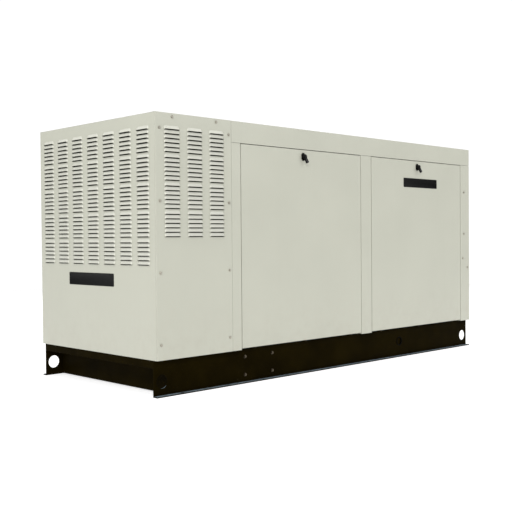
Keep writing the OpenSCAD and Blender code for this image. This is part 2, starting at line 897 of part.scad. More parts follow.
module muffler() {
    r = 130;
    color("#8a8c8c") placed() {
        rod_y(muffler_x, 150, body_w - 150, muffler_z, r);
        both_sides() rod_y(muffler_x, 140, 158, muffler_z, r + 5);
        both_sides() rod_z(muffler_x, exhaust_y, muffler_z - inlet_drop, muffler_z - 100, 30);
        for (y = [300, body_w - 300 - 24]) difference() {
            rod_y(muffler_x, y, y + 24, muffler_z, r + 4);
            rod_y(muffler_x, y - 1, y + 25, muffler_z, r - 1);
        }
        // Legs down to the base, and the outlet that turns towards the louvred end
        for (y = [300, body_w - 300 - 24])
            block([muffler_x - 60, y, base_h - 22], [muffler_x + 60, y + 24, muffler_z - r + 20]);
        pipe_run([[muffler_x, mid_y, muffler_z + r - 10], [muffler_x, mid_y, 880], [60, mid_y, 960]], 38);
    }
}

module crankshaft() {
    color("#6a6c6e") placed() {
        pulley(crank_pulley_r, crank_z, 0);
        rod_x(pulley_x - 8, pulley_x, mid_y, crank_z, 20);
        rod_x(pulley_x + pulley_w, bell_x + 12, mid_y, crank_z, crank_r);
        rod_x(bell_x + 12, bell_x + 40, mid_y, crank_z, 178, $fn = fine);
    }
}

module charging_alternator() {
    x0 = engine_x - 24;
    color("#9da0a2") placed() difference() {
        union() {
            rod_x(x0, x0 + 118, mid_y, charger_z, 58);
            rod_x(x0 + 12, x0 + 106, mid_y, charger_z, 62);
            block([x0 + 30, mid_y - 60, 812], [x0 + 44, mid_y + 60, charger_z]);
            block([x0 + 76, mid_y - 60, 812], [x0 + 90, mid_y + 60, charger_z]);
        }
        rod_x(x0 - 1, x0 + 70, mid_y, charger_z, 9.08);
        for (a = [30 : 60 : 359]) translate([x0 - 1, mid_y, charger_z]) rotate([a, 0, 0])
            translate([0, 34, 0]) rotate([0, 90, 0]) cylinder(r = 10, h = 10);
    }
}

module charging_alternator_pulley() {
    color("#77797b") placed() {
        pulley(charger_pulley_r, charger_z, 0);
        rod_x(pulley_x + pulley_w, engine_x + 40, mid_y, charger_z, 9);
    }
}

module starter_motor() {
    color("#1c1d1f") placed() {
        rod_x(bell_x - 190, bell_x - 14, 290, 405, 43);
        rod_x(bell_x - 14, bell_x, 290, 405, 34);
        rod_x(bell_x - 150, bell_x - 30, 290 - 30, 405 + 62, 26);
        block([bell_x - 140, 262, 440], [bell_x - 40, 292, 466]);
    }
}

module bell_housing() {
    inner = 190;
    color("#6f7274") placed() difference() {
        union() {
            translate([bell_x, mid_y, crank_z]) rotate([0, 90, 0])
                cylinder(r1 = 215, r2 = stator_r, h = bell_l, $fn = fine);
            translate([0, 290, 0]) block([bell_x, -46, 359], [bell_x + 16, 60, 451]);
        }
        rod_x(bell_x + 8, bell_x + bell_l + 1, mid_y, crank_z, inner, $fn = fine);
        rod_x(bell_x - 1, bell_x + 9, mid_y, crank_z, crank_r + 4);
    }
}

// ---------- alternator ----------

module alternator_stator() {
    foot_y = 190;
    x_end = stator_x + stator_l;
    color("#3b3e40") placed() difference() {
        union() {
            rod_x(stator_x, x_end, mid_y, crank_z, stator_r, $fn = fine);
            rod_x(x_end, x_end + 30, mid_y, crank_z, 110);
            for (x = [stator_x + 30, x_end - 50])
                rod_x(x, x + 20, mid_y, crank_z, stator_r + 6, $fn = fine);
            both_sides() {
                translate([stator_foot_x, mid_y - foot_y, 0]) {
                    block([-60, -40, 235], [60, 50, 245]);
                    block([-60, -20, 245], [60, -8, 400]);
                }
            }
        }
        rod_x(stator_x - 1, x_end - 20, mid_y, crank_z, rotor_r + 4, $fn = fine);
        rod_x(x_end - 21, x_end + 31, mid_y, crank_z, 35.08);
    }
}

module alternator_rotor() {
    color("#8a4b2c") placed() {
        rod_x(bell_x + 40, bell_x + 48, mid_y, crank_z, 165);
        rod_x(bell_x + 48, stator_x + stator_l + 24, mid_y, crank_z, 35);
        rod_x(stator_x + 60, stator_x + stator_l - 60, mid_y, crank_z, rotor_r, $fn = fine);
        rod_x(bell_x + 70, bell_x + 110, mid_y, crank_z, 140);
    }
}

module vibration_mounts() {
    color("#131313") placed() both_sides() {
        for (p = [[mount_x, 333], [stator_foot_x - 35, 313], [stator_foot_x + 35, 313]]) {
            rod_z(p[0], p[1], cross_top_z, cross_top_z + 6, 33);
            rod_z(p[0], p[1], cross_top_z + 6, 229, 26);
            rod_z(p[0], p[1], 229, 235, 33);
        }
    }
}

// ---------- electrics and fuel ----------

module battery() {
    x0 = 2250;
    y0 = 120;
    low = base_h + 4;
    color("#101214") placed() {
        block([x0 + 6, y0 + 6, low], [x0 + 264, y0 + 174, low + 190]);
        block([x0, y0, low + 190], [x0 + 270, y0 + 180, low + 216]);
        for (x = [x0 + 45, x0 + 225]) rod_z(x, y0 + 40, low + 216, low + 234, 9);
        for (i = [0 : 5]) rod_z(x0 + 40 + i * 38, y0 + 110, low + 216, low + 220, 11);
        // Tray and its inner leg
        block([x0 - 12, 62, base_h], [x0 + 282, y0 + 192, low]);
        block([x0 - 12, y0 + 188, cross_top_z], [x0 + 282, y0 + 192, base_h]);
    }
}

module control_box() {
    leg_w = 34;
    color("#b9bab0") placed() {
        difference() {
            block([box_x, box_y, box_z], [box_x + box_l, box_y + box_depth, box_z + box_h]);
            block([box_x + sheet, box_y - 1, box_z + sheet],
                  [box_x + box_l - sheet, box_y + box_depth - sheet, box_z + box_h - sheet]);
        }
        for (x = [box_x, box_x + box_l - leg_w]) {
            block([x, 92, base_h], [x + leg_w, 96, box_z - 4]);
            block([x, 92, box_z - 4], [x + leg_w, box_y + box_depth, box_z]);
            block([x, 92, base_h], [x + 4, 126, box_z - 4]);
        }
    }
}

// The control box's face: a plate with a display, a membrane keypad and three cut-outs.
module control_panel() {
    face_y = box_y - 3;
    color("#303336") placed() translate([box_x, 0, box_z]) difference() {
        union() {
            block([0, face_y, 0], [box_l, box_y, box_h]);
            block([40, face_y - 6, 195], [250, face_y, 315]);
            for (i = [0 : 3]) block([48 + i * 50, face_y - 3, 150], [86 + i * 50, face_y, 178]);
        }
        rod_y(stop_at[0], face_y - 1, box_y + 1, stop_at[1], 11.3);
        rod_y(switch_at[0], face_y - 1, box_y + 1, switch_at[1], 11.3);
        block([breaker_at[0] - 60, face_y - 1, breaker_at[1] - 50],
              [breaker_at[0] + 60, box_y + 1, breaker_at[1] + 50]);
    }
}

// A three-position selector: a round knob with a grip across it.
module mode_switch() {
    face_y = box_y - 3;
    color("#0e0e0f") placed() translate([box_x + switch_at[0], 0, box_z + switch_at[1]]) {
        rod_y(0, face_y - 10, face_y - 0.3, 0, 17);
        rod_y(0, face_y - 1, box_y + 30, 0, 11);
        block([-4, face_y - 24, -17], [4, face_y - 10, 17]);
    }
}

module emergency_stop() {
    face_y = box_y - 3;
    color("#b3201c") placed() translate([box_x + stop_at[0], 0, box_z + stop_at[1]]) {
        rod_y(0, face_y - 34, face_y - 22, 0, 20);
        translate([0, face_y - 22, 0]) rotate([-90, 0, 0]) cylinder(r1 = 20, r2 = 12, h = 8);
        rod_y(0, face_y - 14, box_y + 30, 0, 11);
    }
}

module circuit_breaker() {
    y0 = box_y - 14;
    color("#1b1c1e") placed() translate([box_x + breaker_at[0], 0, box_z + breaker_at[1]]) difference() {
        block([-59.5, y0, -49.5], [59.5, box_y + 80, 49.5]);
        block([-12, y0 - 1, -30], [12, y0 + 40, 30]);
        rod_x(-17, 17, y0 + 24, 0, 3.08);
    }
}

// The breaker's toggle, on a pivot deep in its slot.
module breaker_toggle() {
    y0 = box_y - 14;
    color("#0d0d0e") placed() translate([box_x + breaker_at[0], 0, box_z + breaker_at[1]]) {
        rod_x(-11, 11, y0 + 24, 0, 9);
        rod_x(-16, 16, y0 + 24, 0, 3);
        block([-9, y0 - 16, -6], [9, y0 + 24, 6]);
    }
}

module fuel_regulator() {
    x = 1450;
    y = 150;
    z = 330;
    color("#9a9c9c") placed() {
        rod_y(x, y - 60, y - 26, z, 62);
        rod_y(x, y - 26, y - 20, z, 82);
        rod_y(x, y - 20, y + 26, z, 70);
        block([x - 34, y - 14, base_h], [x + 34, y - 8, z - 50]);
        block([x - 34, y - 60, base_h], [x + 34, y - 14, base_h + 5]);
        pipe_run([[x, y, z + 60], [x, y, 900], [x - 30, 380, 900], [engine_x + 540 + 36, mid_y - 25, 740],
                  [engine_x + 540, mid_y - 25, 740]], 20);
    }
}

// ---------- the parts ----------

base_rail_front();
base_rail_rear();
base_end_channels();
base_cross_members();
base_bolts();
end_panel_left();
end_panel_right();
corner_panel_front();
corner_panel_rear();
roof_plenum();
roof_main();
door_posts();
right_corner_posts();
rear_panels();
plenum_bulkhead();
enclosure_screws();
nameplate_end();
nameplate_door();
door_hooks();
door_seals();
door_panel(door_x[0]);  // door_1_panel
door_insulation(door_x[0]);  // door_1_insulation
latch_body(door_x[0]);  // door_1_latch_body
latch_handle(door_x[0]);  // door_1_latch_handle
door_panel(door_x[1]);  // door_2_panel
door_insulation(door_x[1]);  // door_2_insulation
latch_body(door_x[1]);  // door_2_latch_body
latch_handle(door_x[1]);  // door_2_latch_handle
radiator();
radiator_cap();
fan_shroud();
fan();
drive_belt();
coolant_hoses();
engine_block();
cylinder_heads();
intake_manifold();
air_cleaner();
oil_pan();
oil_filter();
dipstick();
exhaust_manifolds();
exhaust_pipes();
muffler();
crankshaft();
charging_alternator();
charging_alternator_pulley();
starter_motor();
bell_housing();
alternator_stator();
alternator_rotor();
vibration_mounts();
battery();
control_box();
control_panel();
mode_switch();
emergency_stop();
circuit_breaker();
breaker_toggle();
fuel_regulator();
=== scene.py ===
"""The looks of a home standby generator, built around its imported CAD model.

Metres, +X away from the louvred end, doors facing -Y, +Z up.
"""

import math

import bmesh
import bpy
from mathutils import Matrix, Vector


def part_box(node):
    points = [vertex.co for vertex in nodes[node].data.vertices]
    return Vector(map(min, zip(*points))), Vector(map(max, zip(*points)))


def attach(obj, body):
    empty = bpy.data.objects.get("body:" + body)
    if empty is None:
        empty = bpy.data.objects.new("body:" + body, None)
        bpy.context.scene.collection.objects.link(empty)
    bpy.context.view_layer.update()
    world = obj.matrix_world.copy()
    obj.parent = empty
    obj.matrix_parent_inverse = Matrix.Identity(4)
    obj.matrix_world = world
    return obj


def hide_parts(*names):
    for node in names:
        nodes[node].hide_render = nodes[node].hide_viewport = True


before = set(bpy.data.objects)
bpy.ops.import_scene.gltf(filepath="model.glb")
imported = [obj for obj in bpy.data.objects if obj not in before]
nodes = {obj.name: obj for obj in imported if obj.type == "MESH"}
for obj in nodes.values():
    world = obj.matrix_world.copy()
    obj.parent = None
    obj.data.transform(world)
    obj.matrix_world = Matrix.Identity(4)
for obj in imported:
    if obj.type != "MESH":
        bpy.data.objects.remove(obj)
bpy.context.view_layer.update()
scene = bpy.context.scene

ROOT = "base_and_enclosure"
MM = 0.001

# ---------- sizes taken from the frame ----------

roof_low, roof_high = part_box("roof_main")

LEFT = -roof_high.x                  # outside of the louvred end
RIGHT = roof_high.x
FRONT = roof_low.y
REAR = roof_high.y
TOP = roof_high.z
WIDTH = REAR - FRONT
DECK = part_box("base_rail_front")[1].z            # top of the base rails
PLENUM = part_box("roof_plenum")[1].x - LEFT       # length of the louvred section
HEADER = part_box("door_posts")[1].z               # lower edge of the roof's fascia

# Louvres, as in the CAD model
LOUVRE_W = 94 * MM
LOUVRE_RISE = 15 * MM
LOUVRE_OUT = 9 * MM
COLUMN_PITCH = 138.6 * MM
LOUVRE_PITCH = 20.8 * MM
GROUP_PITCH = 131.3 * MM
GROUP_ROWS = 6
LOUVRE_TOP = 1246 * MM
SLIT_DROP = 5.4 * MM                 # the slit starts this far below its hood's lip
SIDE_FIRST = 51 * MM                 # the side panels' first column, from the louvred end

# Sheet metal
SHEET = 1.3 * MM
CORNER_R = 3 * MM
SEAM = 1.5 * MM                      # between two panels
INTAKE_POST_W = 60 * MM              # the corner posts beside the intake panel


# ---------- node trees ----------

def add(tree, kind, inputs=None, **settings):
    """A shader node with its settings, and its inputs set or linked by name or number."""
    made = tree.nodes.new(kind)
    for key, value in settings.items():
        setattr(made, key, value)
    for key, value in (inputs or {}).items():
        if isinstance(value, bpy.types.NodeSocket):
            tree.links.new(value, made.inputs[key])
        else:
            made.inputs[key].default_value = value
    return made


def new_material(name, **fixed):
    """A material with a principled shader, whose fixed values sit on the shader's own sockets."""
    material = bpy.data.materials.new(name)
    material.use_nodes = True
    tree = material.node_tree
    shader = tree.nodes["Principled BSDF"]
    for key, value in fixed.items():
        shader.inputs[key.replace("_", " ")].default_value = value
    place = add(tree, "ShaderNodeTexCoord").outputs["Object"]
    return material, tree, shader, place


def cloud(tree, place, scale, detail=3.0, rough=0.55, stretch=None):
    """Noise from 0 to 1 at a scale per metre, stretched along an axis if asked."""
    if stretch:
        place = add(tree, "ShaderNodeMapping", {"Vector": place, "Scale": stretch}).outputs[0]
    made = add(tree, "ShaderNodeTexNoise",
               {"Vector": place, "Scale": scale, "Detail": detail, "Roughness": rough})
    return made.outputs["Fac"]


def ramp(tree, value, low, high, to_low=0.0, to_high=1.0):
    return add(tree, "ShaderNodeMapRange",
               {"Value": value, "From Min": low, "From Max": high,
                "To Min": to_low, "To Max": to_high}).outputs[0]


def mixed(tree, factor, a, b):
    made = add(tree, "ShaderNodeMix", {0: factor, 6: a, 7: b}, data_type="RGBA")
    return made.outputs[2]


def times(tree, a, b):
    return add(tree, "ShaderNodeMath", {0: a, 1: b}, operation="MULTIPLY").outputs[0]


def shade(color, factor):
    return (color[0] * factor, color[1] * factor, color[2] * factor, 1)


def bumped(tree, shader, height, strength, distance):
    bump = add(tree, "ShaderNodeBump",
               {"Height": height, "Strength": strength, "Distance": distance})
    tree.links.new(bump.outputs[0], shader.inputs["Normal"])


def facing_up(tree):
    """1 on faces that look up in the object's own frame, 0 on upright ones."""
    normal = add(tree, "ShaderNodeTexCoord").outputs["Normal"]
    return add(tree, "ShaderNodeSeparateXYZ", {0: normal}).outputs[2]


def height_of(tree, place):
    return add(tree, "ShaderNodeSeparateXYZ", {0: place}).outputs[2]


# ---------- materials ----------

def powder_coat(name, color, rough, coat=0.0, grain=1400, dust_and_sheen=None, shine=0.5):
    """Baked powder coat: orange-peel grain, faint clouds, rain streaks and, if asked, dust low
    down with a painted highlight on faces that look up.
    """
    material, tree, shader, place = new_material(
        name, Coat_Weight=coat, Coat_Roughness=0.25, Specular_IOR_Level=shine)
    clouds = cloud(tree, place, 2.3, 4)
    streaks = cloud(tree, place, 26, 3, stretch=(1, 1, 0.05))
    tone = mixed(tree, ramp(tree, clouds, 0.3, 0.7), shade(color, 0.975), shade(color, 1.02))
    tone = mixed(tree, ramp(tree, streaks, 0.55, 0.8, 0, 0.10), tone, shade(color, 0.88))
    if dust_and_sheen:
        low = ramp(tree, height_of(tree, place), 0.46, 0.17)
        spread = times(tree, low, ramp(tree, cloud(tree, place, 14, 5, 0.65), 0.42, 0.75))
        tone = mixed(tree, times(tree, spread, 0.28), tone, (*dust_and_sheen, 1))
        # painted highlight: faces that look up are lightened, standing in for light falling from
        # above
        painted_top_light = (0.70, 0.70, 0.63, 1)
        tone = mixed(tree, ramp(tree, facing_up(tree), 0.15, 0.5, 0, 0.6), tone, painted_top_light)
    tree.links.new(tone, shader.inputs["Base Color"])
    roughness = ramp(tree, cloud(tree, place, 9, 4), 0.3, 0.7, rough - 0.05, rough + 0.06)
    tree.links.new(roughness, shader.inputs["Roughness"])
    bumped(tree, shader, cloud(tree, place, grain, 2, 0.5), 0.10, 0.25 * MM)
    return material


def frame_paint():
    """Black paint on structural steel, with a painted blue-grey sky reflection on faces that look
    up and scuffs low down.
    """
    material, tree, shader, place = new_material("frame_paint", Specular_IOR_Level=0.005)
    base = (0.0068, 0.0046, 0.0005)
    tone = mixed(tree, ramp(tree, cloud(tree, place, 7, 5), 0.35, 0.7),
                 shade(base, 0.8), shade(base, 1.35))
    # painted reflection: faces that look up, such as the flanges, get a blue-grey tone for the
    # sky reflected in them
    painted_sky_mask = ramp(tree, facing_up(tree), 0.6, 0.95)
    dust_and_sheen = times(tree, painted_sky_mask, ramp(tree, cloud(tree, place, 35, 5, 0.7), 0.35, 0.75, 0.25, 0.9))
    tone = mixed(tree, dust_and_sheen, tone, (0.27, 0.34, 0.39, 1))
    scuffs = ramp(tree, cloud(tree, place, 60, 6, 0.7, (0.3, 1, 1)), 0.66, 0.72)
    low = ramp(tree, height_of(tree, place), 0.05, 0.0)
    tone = mixed(tree, times(tree, times(tree, scuffs, low), 0.6), tone, (0.06, 0.05, 0.04, 1))
    tree.links.new(tone, shader.inputs["Base Color"])
    tree.links.new(ramp(tree, cloud(tree, place, 18, 4), 0.3, 0.7, 0.30, 0.48),
                   shader.inputs["Roughness"])
    bumped(tree, shader, cloud(tree, place, 420, 3), 0.18, 0.3 * MM)
    return material


def bare_metal(name, color, rough, metallic=1.0, grain=500, stretch=None, stain=None):
    """Bare or plated metal with fine grain, uneven sheen and an optional stain."""
    material, tree, shader, place = new_material(name, Metallic=metallic)
    patches = ramp(tree, cloud(tree, place, 16, 5, 0.65), 0.3, 0.72)
    tone = mixed(tree, patches, shade(color, 0.8), shade(color, 1.12))
    if stain:
        spots = ramp(tree, cloud(tree, place, 45, 6, 0.7), 0.56, 0.72)
        tone = mixed(tree, times(tree, spots, 0.7), tone, (*stain, 1))
    tree.links.new(tone, shader.inputs["Base Color"])
    fine = cloud(tree, place, grain, 3, 0.6, stretch)
    tree.links.new(ramp(tree, fine, 0.25, 0.75, rough - 0.08, rough + 0.1),
                   shader.inputs["Roughness"])
    bumped(tree, shader, fine, 0.15, 0.2 * MM)
    return material


def cast_metal(name, color, rough, metallic):
    """Sand-cast metal: pebbled skin and oil stains."""
    material, tree, shader, place = new_material(name, Metallic=metallic)
    stain = (0.05, 0.035, 0.02, 1)
    oil = ramp(tree, cloud(tree, place, 11, 6, 0.7), 0.52, 0.72)
    tone = mixed(tree, ramp(tree, cloud(tree, place, 120, 4), 0.3, 0.7),
                 shade(color, 0.82), shade(color, 1.15))
    tone = mixed(tree, times(tree, oil, 0.55), tone, stain)
    tree.links.new(tone, shader.inputs["Base Color"])
    tree.links.new(ramp(tree, oil, 0, 1, rough, rough - 0.18), shader.inputs["Roughness"])
    bumped(tree, shader, cloud(tree, place, 340, 4, 0.6), 0.45, 0.8 * MM)
    return material


def plastic(name, color, rough, grain=900, coat=0.0, shine=0.5):
    """Moulded plastic or rubber with a fine pebble and faint bloom."""
    material, tree, shader, place = new_material(name, Coat_Weight=coat, Coat_Roughness=0.12,
                                                 Specular_IOR_Level=shine)
    bloom = ramp(tree, cloud(tree, place, 24, 5, 0.6), 0.35, 0.75)
    tree.links.new(mixed(tree, bloom, shade(color, 0.85), shade(color, 1.3)),
                   shader.inputs["Base Color"])
    tree.links.new(ramp(tree, bloom, 0, 1, rough - 0.05, rough + 0.08),
                   shader.inputs["Roughness"])
    bumped(tree, shader, cloud(tree, place, grain, 2), 0.25, 0.25 * MM)
    return material


def foam():
    """Open-cell acoustic foam."""
    material, tree, shader, place = new_material("acoustic_foam", Sheen_Weight=0.35,
                                                 Sheen_Roughness=0.6, Roughness=0.95)
    cells = add(tree, "ShaderNodeTexVoronoi", {"Vector": place, "Scale": 700}).outputs["Distance"]
    tone = mixed(tree, ramp(tree, cells, 0.1, 0.7), (0.012, 0.012, 0.013, 1),
                 (0.045, 0.045, 0.048, 1))
    tree.links.new(tone, shader.inputs["Base Color"])
    bumped(tree, shader, cells, 0.8, 0.8 * MM)
    return material


def windings():
    """Varnished copper turns."""
    material, tree, shader, place = new_material("windings", Coat_Weight=0.5, Metallic=0.7)
    wave = add(tree, "ShaderNodeTexWave", {"Vector": place, "Scale": 170, "Distortion": 0.6},
               bands_direction="X").outputs["Fac"]
    tree.links.new(mixed(tree, wave, (0.16, 0.045, 0.015, 1), (0.50, 0.19, 0.07, 1)),
                   shader.inputs["Base Color"])
    tree.links.new(ramp(tree, wave, 0, 1, 0.42, 0.28), shader.inputs["Roughness"])
    bumped(tree, shader, wave, 0.5, 1.2 * MM)
    return material


CREAM = (0.447, 0.450, 0.380)
coat = {
    "enclosure": powder_coat("enclosure_paint", CREAM, 0.36, dust_and_sheen=(0.36, 0.33, 0.27)),
    # near-black coat for the louvred sheets' inner side and the screens behind them: painted
    # shade for the dark under the hoods
    "inside": powder_coat("panel_inside", (0.009, 0.007, 0.002), 0.6, grain=900, shine=0.05),
    "box": powder_coat("box_paint", (0.46, 0.46, 0.40), 0.42, grain=900),
    "panel": powder_coat("panel_paint", (0.035, 0.038, 0.042), 0.4, grain=900),
    "frame": frame_paint(),
    "zinc": bare_metal("zinc_plate", (0.56, 0.55, 0.51), 0.36, stain=(0.30, 0.29, 0.25)),
    "bolt": bare_metal("bolt_plate", (0.07, 0.058, 0.040), 0.22, metallic=0.9,
                       stain=(0.04, 0.03, 0.02)),
    "screw": bare_metal("screw_plate", (0.43, 0.41, 0.35), 0.31, metallic=0.75),
    "latch": plastic("latch_black", (0.003, 0.003, 0.003), 0.3, 700, shine=0.10),
    "nameplate": plastic("nameplate_black", (0.003, 0.003, 0.003), 0.35, 1500, shine=0.06),
    "foam": foam(),
    "rubber": plastic("black_rubber", (0.012, 0.012, 0.012), 0.62, 500),
    # near-black grommet: its colour is painted shade for the dark inside the pipe entry
    "grommet": plastic("grommet_painted_shade", (0.001, 0.001, 0.001), 0.7, 500, shine=0.04),
    "plastic": plastic("black_plastic", (0.013, 0.013, 0.015), 0.46),
    "iron": cast_metal("engine_iron", (0.085, 0.09, 0.095), 0.62, 0.55),
    "alloy": cast_metal("cast_alloy", (0.46, 0.47, 0.48), 0.50, 0.85),
    "dark_steel": powder_coat("dark_steel", (0.03, 0.032, 0.035), 0.38, coat=0.2, grain=500),
    "hot_steel": bare_metal("heated_steel", (0.24, 0.18, 0.13), 0.55, 0.8,
                            stain=(0.13, 0.055, 0.025)),
    "aluminised": bare_metal("aluminised_steel", (0.44, 0.45, 0.45), 0.48, 0.9,
                             stain=(0.26, 0.19, 0.13)),
    "machined": bare_metal("machined_steel", (0.42, 0.43, 0.44), 0.28, grain=900,
                           stretch=(6, 1, 1)),
    "copper": windings(),
    "orange": powder_coat("filter_orange", (0.60, 0.15, 0.03), 0.3, coat=0.6, grain=300),
    "yellow": plastic("yellow_plastic", (0.62, 0.40, 0.03), 0.35, coat=0.3),
    "red": plastic("red_plastic", (0.48, 0.012, 0.010), 0.3, coat=0.5),
    "glass": plastic("display_glass", (0.010, 0.016, 0.020), 0.08, 60, coat=1.0),
    "lamp": plastic("lamp_lens", (0.05, 0.32, 0.06), 0.15, 900, coat=0.8),
    "radiator": powder_coat("radiator_black", (0.022, 0.024, 0.026), 0.5, grain=600),
}

finishes = {
    "frame": ["base_rail_front", "base_rail_rear", "base_end_channels", "base_cross_members"],
    "bolt": ["base_bolts", "door_hooks"],
    "screw": ["enclosure_screws"],
    "enclosure": ["end_panel_left", "end_panel_right", "corner_panel_front",
                  "corner_panel_rear", "roof_plenum", "roof_main", "door_posts",
                  "right_corner_posts", "rear_panels", "plenum_bulkhead", "door_1_panel",
                  "door_2_panel"],
    "nameplate": ["nameplate_end", "nameplate_door"],
    "foam": ["door_1_insulation", "door_2_insulation"],
    "latch": ["door_1_latch_body", "door_1_latch_handle", "door_2_latch_body",
              "door_2_latch_handle"],
    "rubber": ["door_seals", "drive_belt", "coolant_hoses", "vibration_mounts"],
    "radiator": ["radiator"],
    "plastic": ["fan_shroud", "fan", "air_cleaner", "battery", "circuit_breaker",
                "breaker_toggle", "mode_switch"],
    "iron": ["engine_block"],
    "alloy": ["cylinder_heads", "intake_manifold", "charging_alternator", "bell_housing",
              "fuel_regulator"],
    "dark_steel": ["oil_pan", "starter_motor", "alternator_stator"],
    "hot_steel": ["exhaust_manifolds", "exhaust_pipes"],
    "aluminised": ["muffler"],
    "machined": ["crankshaft", "charging_alternator_pulley", "radiator_cap"],
    "copper": ["alternator_rotor"],
    "orange": ["oil_filter"],
    "yellow": ["dipstick"],
    "red": ["emergency_stop"],
    "panel": ["control_panel"],
    "box": ["control_box"],
}
for finish, names in finishes.items():
    for name in names:
        nodes[name].data.materials.clear()
        nodes[name].data.materials.append(coat[finish])


# ---------- carried-over CAD nodes: rounded edges ----------

def weight_normals(obj):
    weighted = obj.modifiers.new("weighted", "WEIGHTED_NORMAL")
    weighted.keep_sharp = True


def soften(obj, width):
    """Rounds a CAD node's sharp edges with modifiers, which leave its mesh as it is."""
    weld = obj.modifiers.new("weld", "WELD")
    weld.merge_threshold = 0.01 * MM
    planar = obj.modifiers.new("planar", "DECIMATE")
    planar.decimate_type = "DISSOLVE"
    planar.angle_limit = math.radians(0.4)
    bevel = obj.modifiers.new("bevel", "BEVEL")
    bevel.width = width
    bevel.segments = 2
    bevel.limit_method = "ANGLE"
    bevel.angle_limit = math.radians(32)
    bevel.harden_normals = False
    weight_normals(obj)


edge_widths = {
    0.9: ["roof_main", "roof_plenum", "door_posts", "right_corner_posts", "rear_panels",
          "door_1_panel", "door_2_panel"],
    1.2: ["base_rail_front", "base_rail_rear", "base_end_channels", "base_cross_members"],
    0.6: ["base_bolts", "enclosure_screws", "door_hooks", "plenum_bulkhead", "control_panel"],
    1.6: ["door_1_latch_body", "door_2_latch_body", "door_1_latch_handle",
          "door_2_latch_handle"],
    4.0: ["engine_block", "cylinder_heads", "intake_manifold", "oil_pan", "bell_housing",
          "alternator_stator", "starter_motor", "muffler", "battery"],
    2.0: ["charging_alternator", "air_cleaner", "fuel_regulator", "circuit_breaker",
          "radiator", "fan_shroud", "crankshaft", "vibration_mounts", "oil_filter",
          "exhaust_manifolds"],
    1.0: ["control_box", "mode_switch", "emergency_stop", "breaker_toggle", "radiator_cap",
          "dipstick", "charging_alternator_pulley", "fan", "door_seals"],
}
for width, names in edge_widths.items():
    for name in names:
        soften(nodes[name], width * MM)


# ---------- mesh helpers ----------

def add_object(name, data):
    obj = bpy.data.objects.new(name, data)
    scene.collection.objects.link(obj)
    return obj


def make_piece(name, skin, body, finish):
    """A mesh object from a skin, smooth but for its sharp edges, riding on a body."""
    mesh = bpy.data.meshes.new(name)
    mesh.from_pydata([tuple(v) for v in skin.verts], [], skin.faces)
    mesh.materials.append(coat[finish])
    work = bmesh.new()
    work.from_mesh(mesh)
    bmesh.ops.remove_doubles(work, verts=work.verts, dist=0.005 * MM)
    bmesh.ops.dissolve_degenerate(work, edges=work.edges, dist=0.005 * MM)
    bmesh.ops.recalc_face_normals(work, faces=work.faces)
    sharp = math.radians(36)
    for edge in work.edges:
        if len(edge.link_faces) == 2 and edge.calc_face_angle(0) > sharp:
            edge.smooth = False
    for face in work.faces:
        face.smooth = True
    work.to_mesh(mesh)
    work.free()
    obj = add_object(name, mesh)
    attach(obj, body)
    return obj


class Skin:
    """Vertices and faces gathered from strips of points."""

    def __init__(self):
        self.verts = []
        self.faces = []

    def grid(self, rows):
        """Quads between rows of points of equal length."""
        start = len(self.verts)
        across = len(rows[0])
        for row in rows:
            self.verts.extend(Vector(point) for point in row)
        for r in range(len(rows) - 1):
            for c in range(across - 1):
                a = start + r * across + c
                self.faces.append((a, a + 1, a + across + 1, a + across))

    def face(self, points):
        start = len(self.verts)
        self.verts.extend(Vector(point) for point in points)
        self.faces.append(tuple(range(start, start + len(points))))

    def prism(self, outline, rise):
        """A closed prism: an outline of points, and the same outline moved by rise."""
        top = [Vector(point) + Vector(rise) for point in outline]
        self.face(outline)
        self.face(top)
        self.grid([[*outline, outline[0]], [*top, top[0]]])

    def box(self, low, high):
        x0, y0, z0 = low
        x1, y1, z1 = high
        self.prism([(x0, y0, z0), (x1, y0, z0), (x1, y1, z0), (x0, y1, z0)], (0, 0, z1 - z0))

    def tube(self, route, radius, sides=20, closed=False):
        """A round tube along a route. The radius is one number, or one for each point."""
        across = None
        rings = []
        last = len(route) - 1
        for i, point in enumerate(route):
            if closed:
                ahead = (route[(i + 1) % last] - route[(i - 1) % last]).normalized()
            else:
                ahead = (route[min(i + 1, last)] - route[max(i - 1, 0)]).normalized()
            if across is None:
                across = ahead.orthogonal()
            across = (across - ahead * across.dot(ahead)).normalized()
            side = ahead.cross(across)
            r = radius[i] if isinstance(radius, list) else radius
            turns = [2 * math.pi * k / sides for k in range(sides)] + [0]
            rings.append([point + r * (math.cos(a) * across + math.sin(a) * side)
                          for a in turns])
        self.grid(rings)
        if not closed:
            self.face(rings[0][:-1])
            self.face(rings[-1][:-1])

    def turned(self, start, axis, profile, sides=24, capped=True):
        """A turned part: distances along an axis from a start, each with a radius."""
        axis = Vector(axis).normalized()
        across = axis.orthogonal().normalized()
        side = axis.cross(across)
        turns = [2 * math.pi * k / sides for k in range(sides)] + [0]
        rings = [[Vector(start) + axis * d + r * (math.cos(a) * across + math.sin(a) * side)
                  for a in turns] for d, r in profile]
        self.grid(rings)
        if capped:
            self.face(rings[0][:-1])
            self.face(rings[-1][:-1])

    def bolt(self, place, axis, size):
        """A washer and a hexagon head, size being the head's radius."""
        self.turned(place, axis, [(0, size * 1.45), (size * 0.22, size * 1.45)], 20)
        head = Vector(place) + Vector(axis).normalized() * size * 0.22
        self.turned(head, axis, [(0, size), (size * 0.75, size), (size * 0.9, size * 0.86)], 6)


def thicken(obj, thickness):
    """Gives a sheet its thickness, with its inner side in the object's second material."""
    solid = obj.modifiers.new("thickness", "SOLIDIFY")
    solid.thickness = thickness
    solid.offset = -1
    solid.use_even_offset = False
    solid.material_offset = 1


# ---------- louvred panels ----------

def louvre_heights(groups, top):
    return [top - group * GROUP_PITCH - row * LOUVRE_PITCH
            for group in range(groups) for row in range(GROUP_ROWS)]


